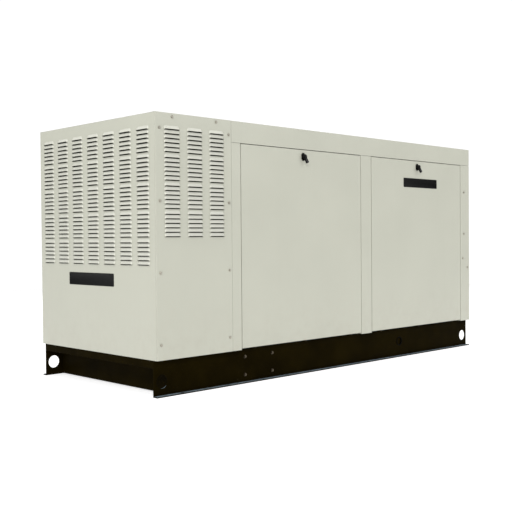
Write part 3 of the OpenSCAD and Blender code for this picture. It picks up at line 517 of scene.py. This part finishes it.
def louvre_stations():
    """Places along a louvre with how full it is there: round ends, straight middle."""
    radius = 12 * MM
    steps = 5
    ends = []
    for i in range(steps + 1):
        angle = i / steps * math.pi / 2
        ends.append((radius * (1 - math.cos(angle)), math.sin(angle)))
    return ends + [(LOUVRE_W - x, full) for x, full in reversed(ends)]


def add_louvre(skin, x0, lip_z):
    """One pressed hood, open underneath, on a wall whose outside faces -Y."""
    rows = []
    steps = 6
    for i in range(steps + 1):
        t = i / steps
        row = []
        for x, full in louvre_stations():
            z = lip_z + LOUVRE_RISE * full * (1 - t)
            row.append((x0 + x, -LOUVRE_OUT * full * t ** 1.55, z))
        rows.append(row)
    skin.grid(rows)
    cheek = louvre_stations()[:4]     # along these the hood's end reaches below its lip
    for mirror in (False, True):
        lip, edge = [], []
        for x, full in cheek:
            drop = SLIT_DROP * (1 - (full / cheek[-1][1]) ** 3)
            place_x = x0 + (LOUVRE_W - x if mirror else x)
            lip.append((place_x, -LOUVRE_OUT * full, lip_z))
            edge.append((place_x, -LOUVRE_OUT * full, lip_z - drop))
        skin.grid([edge, lip] if mirror else [lip, edge])


def pierced_sheet(skin, width, low, high, starts, heights):
    """The flat of a louvred sheet, with a slit behind each hood."""
    margin = 2.5 * MM                # the slit is this much shorter at each end
    xs = sorted({0.0, width, *[s + margin for s in starts],
                 *[s + LOUVRE_W - margin for s in starts]})
    slits = [(z - SLIT_DROP, z + LOUVRE_RISE * 0.72) for z in heights]
    zs = sorted({low, high, *[edge for slit in slits for edge in slit]})
    for i in range(len(xs) - 1):
        for j in range(len(zs) - 1):
            middle_x = (xs[i] + xs[i + 1]) / 2
            middle_z = (zs[j] + zs[j + 1]) / 2
            pierced = (any(s < middle_x < s + LOUVRE_W for s in starts)
                       and any(a < middle_z < b for a, b in slits))
            if not pierced:
                skin.grid([[(xs[i], 0, zs[j]), (xs[i + 1], 0, zs[j])],
                           [(xs[i], 0, zs[j + 1]), (xs[i + 1], 0, zs[j + 1])]])


def folded_edge(skin, low, high, depth):
    """The sheet's first edge: rounded, stepped in behind the next panel and folded inward."""
    steps = 4
    step_in = 2 * MM
    rows = []
    for z in (high, low):
        row = [(0, 0, z)]
        for k in range(1, steps + 1):
            angle = k / steps * math.pi / 2
            row.append((-CORNER_R * math.sin(angle), CORNER_R * (1 - math.cos(angle)), z))
        row.append((-CORNER_R, CORNER_R + 0.5 * MM, z))
        row.append((step_in - CORNER_R, CORNER_R + 0.8 * MM, z))
        row.append((step_in - CORNER_R, depth, z))
        rows.append(row)
    skin.grid(rows)


def louvred_panel(name, replaced, place, width, low, high, first, columns, groups,
                  fold=None, top=LOUVRE_TOP):
    """A sheet with pressed louvres in its own plane, then put in place."""
    skin = Skin()
    starts = [first + c * COLUMN_PITCH for c in range(columns)]
    heights = sorted(louvre_heights(groups, top))
    pierced_sheet(skin, width, low, high, starts, heights)
    if fold:
        folded_edge(skin, low, high, fold)
    for start in starts:
        for z in heights:
            add_louvre(skin, start, z)
    skin.verts = [place @ v for v in skin.verts]
    obj = make_piece(name, skin, ROOT, "enclosure")
    # the sheet's inner side gets the near-black second material: painted shade under the hoods
    obj.data.materials.append(coat["inside"])
    thicken(obj, SHEET)
    weight_normals(obj)
    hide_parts(replaced)


def turned_to(degrees, x, y):
    return Matrix.Translation((x, y, 0)) @ Matrix.Rotation(math.radians(degrees), 4, "Z")


def first_column(columns):
    """The first column's distance from the side, with the columns centred on the width."""
    return (WIDTH - (columns - 1) * COLUMN_PITCH - LOUVRE_W) / 2


def louvred_end():
    """The discharge end's panel, between the two side panels' rounded edges."""
    edge = CORNER_R + SEAM
    louvred_panel("louvred_end", "end_panel_left", turned_to(-90, LEFT, REAR - edge),
                  WIDTH - 2 * edge, DECK, TOP - 2 * MM, first_column(7) - edge, 7, 5)


def corner_panels():
    """The two side panels of the louvred section, mirror images of each other."""
    front = Matrix.Translation((LEFT + CORNER_R, FRONT, 0))
    rear = Matrix.Translation((LEFT + CORNER_R, REAR, 0)) @ Matrix.Diagonal((1, -1, 1, 1))
    for side, place in (("front", front), ("rear", rear)):
        louvred_panel(f"corner_{side}", f"corner_panel_{side}", place,
                      PLENUM - SEAM - CORNER_R, DECK, TOP, SIDE_FIRST - CORNER_R, 3, 4,
                      fold=30 * MM)


def intake_end():
    """The far end's panel, between the two corner posts."""
    edge = INTAKE_POST_W + SEAM
    louvred_panel("intake_end", "end_panel_right", turned_to(90, RIGHT, FRONT + edge),
                  WIDTH - 2 * edge, DECK, HEADER - SEAM, first_column(6) - edge, 6, 4,
                  top=HEADER - 60 * MM)


louvred_end()
corner_panels()
intake_end()


# ---------- places in millimetres, from the lower front corner at the louvred end ----------

WIDE = WIDTH / MM
MIDDLE = WIDE / 2
ENGINE_X = 760                       # front face of the engine block
CRANK_Z = 470                        # height of the crankshaft's axis
FAN_Z = 660                          # height of the fan's axis
BANK = 45                            # lean of each cylinder bank, in degrees


def at(x, y, z):
    return Vector((LEFT + x * MM, FRONT + y * MM, z * MM))


def on_bank(side, x, across, along):
    """A place on a cylinder bank: across it and along its bores from the crankshaft."""
    turn = math.radians(BANK) * side
    y = across * math.cos(turn) - along * math.sin(turn)
    z = across * math.sin(turn) + along * math.cos(turn)
    return at(x, MIDDLE + y, CRANK_Z + z)


def bore_axis(side):
    return on_bank(side, 0, 0, 1) - on_bank(side, 0, 0, 0)


def round_crank(x, radius, degrees):
    turn = math.radians(degrees)
    return at(x, MIDDLE + radius * math.sin(turn), CRANK_Z + radius * math.cos(turn))


# ---------- near-black screens behind the louvres, painted shade ---

def painted_shade_screens():
    """Thin near-black screens a little way within the louvred end and the side panels: painted
    shade, so that the slits look dark.
    """
    skin = Skin()
    thick = 1.5
    top = 1276
    skin.box(at(24, 46, 640), at(24 + thick, WIDE - 46, top))
    for y in (24, WIDE - 24 - thick):
        skin.box(at(52, y, 740), at(438, y + thick, top))
    make_piece("painted_shade_screens", skin, ROOT, "inside")


painted_shade_screens()


# ---------- nameplates ----------

def rounded_outline(low, high, radius, place):
    """A rounded rectangle between two corners (a, b), each point put in place by a function."""
    steps = 6
    points = []
    corners = [(high[0], high[1], 0), (low[0], high[1], 90), (low[0], low[1], 180),
               (high[0], low[1], 270)]
    for a, b, start in corners:
        middle_a = a - radius if start in (0, 270) else a + radius
        middle_b = b - radius if start in (0, 90) else b + radius
        for k in range(steps + 1):
            turn = math.radians(start + 90 * k / steps)
            points.append(place(middle_a + radius * math.cos(turn),
                                middle_b + radius * math.sin(turn)))
    return points


def nameplate(node, body, axis):
    """A blank plate with rounded corners and a raised rim."""
    low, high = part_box(node)
    across = 1 if axis == 0 else 0
    depth = low[axis]

    def place(a, b, out=0.0):
        point = [0, 0, b]
        point[axis] = depth + out
        point[across] = a
        return Vector(point)

    a0, a1 = low[across], high[across]
    b0, b1 = low.z, high.z
    rim = 2.4 * MM
    rows = []
    for inset, out in ((0, 0.95), (0, 0.25), (0.4 * MM, 0.0), (rim, 0.0), (rim * 1.3, 0.35)):
        rows.append(rounded_outline((a0 + inset, b0 + inset), (a1 - inset, b1 - inset),
                                    max(6 * MM - inset, MM),
                                    lambda a, b, out=out: place(a, b, out * MM)))
    skin = Skin()
    skin.grid([row + row[:1] for row in rows])
    skin.face(rows[-1])
    obj = make_piece(node + "_plate", skin, body, "nameplate")
    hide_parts(node)


nameplate("nameplate_end", ROOT, 0)
nameplate("nameplate_door", "door_2", 1)


# ---------- acoustic foam on the doors ----------

def door_foam(number):
    """Egg-crate foam with a notch round the latch."""
    node = f"door_{number}_insulation"
    low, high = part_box(node)
    latch_low, latch_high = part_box(f"door_{number}_latch_body")
    middle = (latch_low.x + latch_high.x) / 2
    notch = 24 * MM
    notch_z = (latch_low.z + latch_high.z) / 2 - notch
    cell = 8 * MM                    # one face of the mesh
    pitch = 40 * MM
    swell = 9 * MM                   # height of a crest above its valley
    thinned = 12 * MM                # width of the rounded border
    columns = round((high.x - low.x) / cell)
    rows = round((high.z - low.z) / cell)

    def height(x, z):
        edge = min(x - low.x, high.x - x, z - low.z, high.z - z,
                   max(abs(x - middle) - notch, notch_z - z))
        full = min(1, max(0, edge) / thinned) ** 0.5
        wave = (math.sin(math.pi * x / pitch) * math.sin(math.pi * z / pitch)) ** 2
        return high.y - swell * (1 - wave) - swell * (1 - full)

    mesh = bmesh.new()
    corners = {}
    xs = [low.x + (high.x - low.x) * i / columns for i in range(columns + 1)]
    zs = [low.z + (high.z - low.z) * j / rows for j in range(rows + 1)]

    def corner(i, j):
        if (i, j) not in corners:
            corners[i, j] = mesh.verts.new((xs[i], height(xs[i], zs[j]), zs[j]))
        return corners[i, j]

    for i in range(columns):
        for j in range(rows):
            x, z = (xs[i] + xs[i + 1]) / 2, (zs[j] + zs[j + 1]) / 2
            if abs(x - middle) < notch and z > notch_z:
                continue
            mesh.faces.new((corner(i, j), corner(i, j + 1), corner(i + 1, j + 1),
                            corner(i + 1, j)))
    rim = [edge for edge in mesh.edges if edge.is_boundary]
    made = bmesh.ops.extrude_edge_only(mesh, edges=rim)["geom"]
    back = [v for v in made if isinstance(v, bmesh.types.BMVert)]
    for vert in back:
        vert.co.y = low.y + 0.5 * MM
    bmesh.ops.contextual_create(mesh, geom=[e for e in mesh.edges if e.is_boundary])
    bmesh.ops.recalc_face_normals(mesh, faces=mesh.faces)
    for face in mesh.faces:
        face.smooth = True
    data = bpy.data.meshes.new(f"door_{number}_foam")
    mesh.to_mesh(data)
    mesh.free()
    data.materials.append(coat["foam"])
    obj = add_object(f"door_{number}_foam", data)
    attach(obj, f"door_{number}")
    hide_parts(node)


door_foam(1)
door_foam(2)


# ---------- hoses and exhaust ----------

def bent(points, bend, steps=8):
    """A route through points, its corners rounded to a bend radius in millimetres."""
    points = [at(*point) for point in points]
    route = [points[0]]
    for before, corner, after in zip(points, points[1:], points[2:]):
        into = corner - before
        out = after - corner
        reach = min(bend * MM * math.tan(into.angle(out) / 2), into.length * 0.48,
                    out.length * 0.48)
        start = corner - into.normalized() * reach
        end = corner + out.normalized() * reach
        for i in range(steps + 1):
            t = i / steps
            route.append((1 - t) ** 2 * start + 2 * t * (1 - t) * corner + t * t * end)
    route.append(points[-1])
    return route


def clamp(skin, place, axis, radius):
    """A worm-drive hose clamp with its screw housing."""
    axis = Vector(axis).normalized()
    band = 12 * MM
    outer = radius + 1.4 * MM
    skin.turned(place - axis * band / 2, axis,
                [(0, radius), (0, outer), (band, outer), (band, radius)], 32)
    out = axis.orthogonal().normalized()
    side = axis.cross(out)
    screw = place + out * (radius + 4 * MM) - side * 11 * MM
    skin.turned(screw, side, [(0, 4 * MM), (22 * MM, 4 * MM)], 12)
    skin.turned(screw + side * 22 * MM, side, [(0, 5.5 * MM), (5 * MM, 5.5 * MM)], 6)


def coolant_hoses():
    """The two moulded radiator hoses, with a clamp near each end."""
    top = [(594, 350, 1160), (715, 350, 1160), (870, 410, 1040), (890, 464, 880),
           (890, 464, 812)]
    bottom = [(594, 690, 290), (650, 690, 290), (700, 668, 420), (748, 668, 420)]
    hoses, clamps = Skin(), Skin()
    for points, radius, bend in ((top, 21 * MM, 150), (bottom, 23 * MM, 70)):
        route = bent(points, bend, 12)
        hoses.tube(route, radius, 28)
        for end, inner in ((route[0], route[1]), (route[-1], route[-2])):
            inward = (inner - end).normalized()
            clamp(clamps, end + inward * 12 * MM, inward, radius)
    obj = make_piece("moulded_hoses", hoses, ROOT, "rubber")
    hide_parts("coolant_hoses")
    make_piece("hose_clamps", clamps, ROOT, "zinc")


def exhaust_piping():
    """Two downpipes with a bellows each, bent forward under the engine to the muffler."""
    radius = 27 * MM
    cuff = radius * 1.06
    waves = 14
    pitch = 7.4 * MM
    pipes = Skin()
    for mirror in (False, True):
        points = [(810, 212, 502), (810, 212, 330), (740, 208, 215), (620, 208, 215)]
        rest = [(500, 208, 215), (240, 208, 215), (240, 208, 288)]
        if mirror:
            points = [(x, WIDE - y, z) for x, y, z in points]
            rest = [(x, WIDE - y, z) for x, y, z in rest]
        pipes.tube(bent(points, 85), radius, 28)
        pipes.tube(bent(rest, 60), radius, 28)
        start = at(*points[-1])
        profile = [(0, cuff)]
        for k in range(waves):
            near = 8 * MM + k * pitch
            profile += [(near, radius), (near + pitch / 2, radius * 1.2)]
        profile += [(112 * MM, radius), (120 * MM, cuff)]
        pipes.turned(start, (-1, 0, 0), profile, 32)
        top = at(*points[0])
        pipes.turned(top, (0, 0, -1), [(0, 46 * MM), (10 * MM, 46 * MM)], 32)
    obj = make_piece("exhaust_piping", pipes, ROOT, "hot_steel")
    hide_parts("exhaust_pipes")


def pipe_grommet():
    """A rubber grommet with a long near-black sleeve in the front rail's pipe entry: painted
    shade for the dark inside the hole.
    """
    skin = Skin()
    entry = at(1896, 25.5, 93)
    bore, sleeve, lip = 22.5, 24.7, 26.5
    profile = [(0, bore), (70, bore), (70, sleeve), (2.5, sleeve), (2.5, lip), (0, lip),
               (0, bore)]
    skin.turned(entry, (0, 1, 0), [(d * MM, r * MM) for d, r in profile], 40, capped=False)
    make_piece("pipe_grommet", skin, ROOT, "grommet")


coolant_hoses()
exhaust_piping()
pipe_grommet()


# ---------- fasteners and trim on the engine and alternator ----------

def bolt_ring(skin, x, radius, count, first, facing, size, skipped=()):
    """Bolts in a circle round the crankshaft's axis, the first at an angle in degrees."""
    for k in range(count):
        if k not in skipped:
            skin.bolt(round_crank(x, radius, 360 / count * k + first), (facing, 0, 0), size * MM)


def engine_fasteners():
    """Bolts of the cylinder heads, oil pan, timing cover, bell housing and alternator."""
    skin = Skin()
    for side in (-1, 1):
        out = bore_axis(side)
        for i in range(6):
            x = ENGINE_X + 22 + i * 111
            for across in (-74, 74):
                skin.bolt(on_bank(side, x, across, 318), out, 7 * MM)
    for i in range(9):
        for y in (356, WIDE - 356):      # either side of the oil pan
            skin.bolt(at(ENGINE_X + 50 + i * 62, y, 378), (0, 0, -1), 5 * MM)
    bolt_ring(skin, ENGINE_X - 22, 118, 10, 18, -1, 6)
    bolt_ring(skin, 1360, 203, 12, 15, -1, 7, skipped=(4, 8))
    bolt_ring(skin, 2020, 205, 12, 0, 1, 8)
    bolt_ring(skin, 2050, 88, 6, 0, 1, 6)
    make_piece("engine_fasteners", skin, ROOT, "zinc")


def cover_ribs():
    """Ribs across the valve covers between the coils, and fins along the intake."""
    skin = Skin()
    crown = [(-58, 362), (-46, 381), (-42, 385), (42, 385), (46, 381), (58, 362)]
    for side in (-1, 1):
        for i in range(4):
            x = ENGINE_X + 126 + i * 112
            for shift in (-14, 0, 14):
                outline = [on_bank(side, x + shift, a, b) for a, b in crown]
                skin.prism(outline, (5 * MM, 0, 0))
    for i in range(9):
        y = MIDDLE - 56 + i * 14
        for x0, x1 in ((808, 872), (910, 1140)):
            skin.box(at(x0, y - 1.5, 799), at(x1, y + 1.5, 805))
    make_piece("cover_ribs", skin, ROOT, "alloy")


def coil_leads():
    """Connectors on the ignition coils, with a loom tube along each bank."""
    skin = Skin()
    for side in (-1, 1):
        out = bore_axis(side)
        for i in range(5):
            x = ENGINE_X + 70 + i * 112
            skin.turned(on_bank(side, x, 0, 402), out, [(0, 11 * MM), (7 * MM, 10 * MM)], 16)
            skin.tube([on_bank(side, x, a, b) for a, b in ((0, 405), (20, 412), (38, 406),
                                                           (50, 392))], 4 * MM, 10)
        first = on_bank(side, ENGINE_X + 60, 50, 388)
        last = on_bank(side, ENGINE_X + 540, 50, 388)
        steps = 120
        route = [first.lerp(last, k / steps) for k in range(steps + 1)]
        radii = [(8.2 if k % 2 else 7) * MM for k in range(steps + 1)]
        skin.tube(route, radii, 14)
    make_piece("coil_loom", skin, ROOT, "plastic")


def stator_fins():
    """Cooling fins along the alternator's frame, left out where its feet and leads are."""
    skin = Skin()
    for k in range(36):
        degrees = k * 10 - 175
        if 102 < abs(degrees) < 175:
            continue
        turn = math.radians(degrees)
        out = Vector((0, math.sin(turn), math.cos(turn)))
        side = Vector((0, math.cos(turn), -math.sin(turn))) * 2.5 * MM
        foot = round_crank(1556, 233, degrees)
        outline = [foot - side, foot + side, foot + side * 0.6 + out * 12 * MM,
                   foot - side * 0.6 + out * 12 * MM]
        skin.prism(outline, (408 * MM, 0, 0))
    make_piece("stator_fins", skin, ROOT, "dark_steel")


def fan_guard():
    """A wire guard over the fan, open in the middle for the fan's shaft."""
    skin = Skin()
    x = 646
    wire = 2.4 * MM
    sides = 72
    turns = [2 * math.pi * k / sides for k in range(sides + 1)]
    for ring in range(9):
        r = 62 + ring * 40.5
        skin.tube([at(x, MIDDLE + r * math.sin(a), FAN_Z + r * math.cos(a)) for a in turns],
                  wire, 8, closed=True)
    for k in range(8):
        a = math.pi * (k + 0.5) / 4
        route = [at(x - 4.4, MIDDLE + r * math.sin(a), FAN_Z + r * math.cos(a))
                 for r in (60, 388)]
        skin.tube(route, wire, 8)
    make_piece("fan_guard", skin, ROOT, "dark_steel")


def radiator_core():
    """Flat upright tubes over the radiator core's two faces."""
    skin = Skin()
    first_y = 130
    pitch = 14
    deep = 3
    half = 1.4
    for k in range(round((WIDE - 2 * first_y) / pitch) + 1):
        y = first_y + k * pitch
        for x in (490.5, 544):
            skin.box(at(x, y - half, 322), at(x + deep, y + half, 1118))
    make_piece("radiator_tubes", skin, ROOT, "radiator")


engine_fasteners()
cover_ribs()
coil_leads()
stator_fins()
fan_guard()
radiator_core()


# ---------- controls and battery ----------

def panel_trim():
    """A display window, indicator lamps and panel screws on the control panel."""
    low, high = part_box("control_panel")
    wide = (high.x - low.x) / MM
    tall = (high.z - low.z) / MM
    bezel = 6                        # how far the display's frame stands off the plate
    inset = 14                       # from the plate's edges to its screws
    forward = (0, -1, 0)

    def on_panel(x, z, depth=bezel):
        """A place on the panel, by default on its plate."""
        return Vector((low.x + x * MM, low.y + depth * MM, low.z + z * MM))

    window = Skin()
    outline = rounded_outline((56, 210), (234, 300), 6, lambda a, b: on_panel(a, b, -0.6))
    window.prism(outline, (0, 0.9 * MM, 0))
    make_piece("display_window", window, ROOT, "glass")
    lamps = Skin()
    for k in range(3):
        lamps.turned(on_panel(282 + k * 16, 318), forward,
                     [(0, 5 * MM), (2 * MM, 5 * MM), (3.5 * MM, 3.6 * MM),
                      (4.2 * MM, 1.6 * MM)], 20)
    make_piece("indicator_lamps", lamps, ROOT, "lamp")
    screws = Skin()
    for x in (inset, wide - inset):
        for z in (inset, tall - inset):
            screws.turned(on_panel(x, z), forward,
                          [(0, 5.5 * MM), (1.2 * MM, 5.2 * MM), (2.4 * MM, 3.4 * MM)], 20)
    make_piece("panel_screws", screws, ROOT, "zinc")


def battery_trim():
    """A hold-down bar over the battery with its two threaded rods, and one terminal's cover."""
    left, right, top = 2250, 2520, 392      # the battery's case
    bar_y = 228
    rod_foot = 176
    above = (0, 0, 1)
    bar = Skin()
    bar.box(at(left - 8, bar_y - 10, top + 4), at(right + 8, bar_y + 10, top + 10))
    for x in (left - 6, right + 6):
        rod = (top + 10 - rod_foot) * MM
        bar.turned(at(x, bar_y, rod_foot), above, [(0, 3.5 * MM), (rod, 3.5 * MM)], 12)
        bar.turned(at(x, bar_y, top + 10), above, [(0, 8 * MM), (6 * MM, 8 * MM)], 6)
    make_piece("battery_hold_down", bar, ROOT, "zinc")
    cover = Skin()
    cover.turned(at(left + 225, 160, top), above,
                 [(0, 20 * MM), (14 * MM, 20 * MM), (22 * MM, 16 * MM), (24 * MM, 8 * MM)], 28)
    make_piece("positive_terminal_cover", cover, ROOT, "red")


panel_trim()
battery_trim()


# ---------- camera, floor and light ----------

def set_camera():
    """The viewpoint: a little above half the object's height, off the louvred corner."""
    yaw, pitch, roll = (math.radians(a) for a in (44.23, -1.15, -0.48))
    forward = Vector((math.cos(pitch) * math.sin(yaw), math.cos(pitch) * math.cos(yaw),
                      math.sin(pitch)))
    level = Vector((math.cos(yaw), -math.sin(yaw), 0))
    above = level.cross(forward)
    right = math.cos(roll) * level + math.sin(roll) * above
    up = -math.sin(roll) * level + math.cos(roll) * above
    data = bpy.data.cameras.new("camera")
    data.sensor_width = 36
    data.lens = 59.47
    data.clip_end = 200
    camera = add_object("camera", data)
    turn = Matrix((right, up, -forward)).transposed().to_4x4()
    camera.matrix_world = Matrix.Translation((-3.7047, -3.6072, 0.7309)) @ turn
    scene.camera = camera


def area_light(name, place, aim, size, power):
    data = bpy.data.lights.new(name, "AREA")
    data.shape = "RECTANGLE"
    data.size, data.size_y = size
    data.energy = power
    light = add_object(name, data)
    light.location = place
    light.rotation_euler = (Vector(aim) - Vector(place)).to_track_quat("-Z", "Y").to_euler()


def set_lights():
    area_light("key", (-8.0, -8.0, 6.6), (-0.3, -0.2, 0.7), (3, 3), 500)
    area_light("left", (-6.2, -1.0, 5.6), (-0.8, 0, 0.8), (3, 3), 195)
    area_light("front", (4.2, -5.2, 4.8), (1.0, 0, 0.7), (4, 3), 165)
    area_light("rim", (3.5, 4.5, 3.8), (0, 0, 0.8), (4, 3), 120)


def set_world():
    """A soft white surround that lights the object, and a brighter one behind it."""
    white = (1, 1, 1, 1)
    world = bpy.data.worlds.new("studio")
    world.use_nodes = True
    tree = world.node_tree
    surround = tree.nodes["Background"]
    surround.inputs["Color"].default_value = white
    surround.inputs["Strength"].default_value = 0.5
    backdrop = add(tree, "ShaderNodeBackground", {"Color": white, "Strength": 1.06})
    direct = add(tree, "ShaderNodeLightPath").outputs["Is Camera Ray"]
    both = add(tree, "ShaderNodeMixShader",
               {0: direct, 1: surround.outputs[0], 2: backdrop.outputs[0]})
    tree.links.new(both.outputs[0], tree.nodes["World Output"].inputs["Surface"])
    scene.world = world
    scene.view_settings.view_transform = "Standard"


def set_floor():
    """A plain pale floor, which glows a little so that it meets the backdrop evenly."""
    material, tree, shader, place = new_material(
        "floor", Roughness=0.9, Emission_Color=(1, 1, 1, 1), Emission_Strength=0.46)
    tone = mixed(tree, cloud(tree, place, 1.5, 3), (0.87, 0.87, 0.87, 1), (0.90, 0.90, 0.90, 1))
    tree.links.new(tone, shader.inputs["Base Color"])
    mesh = bpy.data.meshes.new("floor")
    reach = 8
    mesh.from_pydata([(-reach, -reach, 0), (reach, -reach, 0), (reach, reach, 0),
                      (-reach, reach, 0)], [], [(0, 1, 2, 3)])
    mesh.materials.append(material)
    add_object("floor", mesh)


set_camera()
set_world()
set_lights()
set_floor()
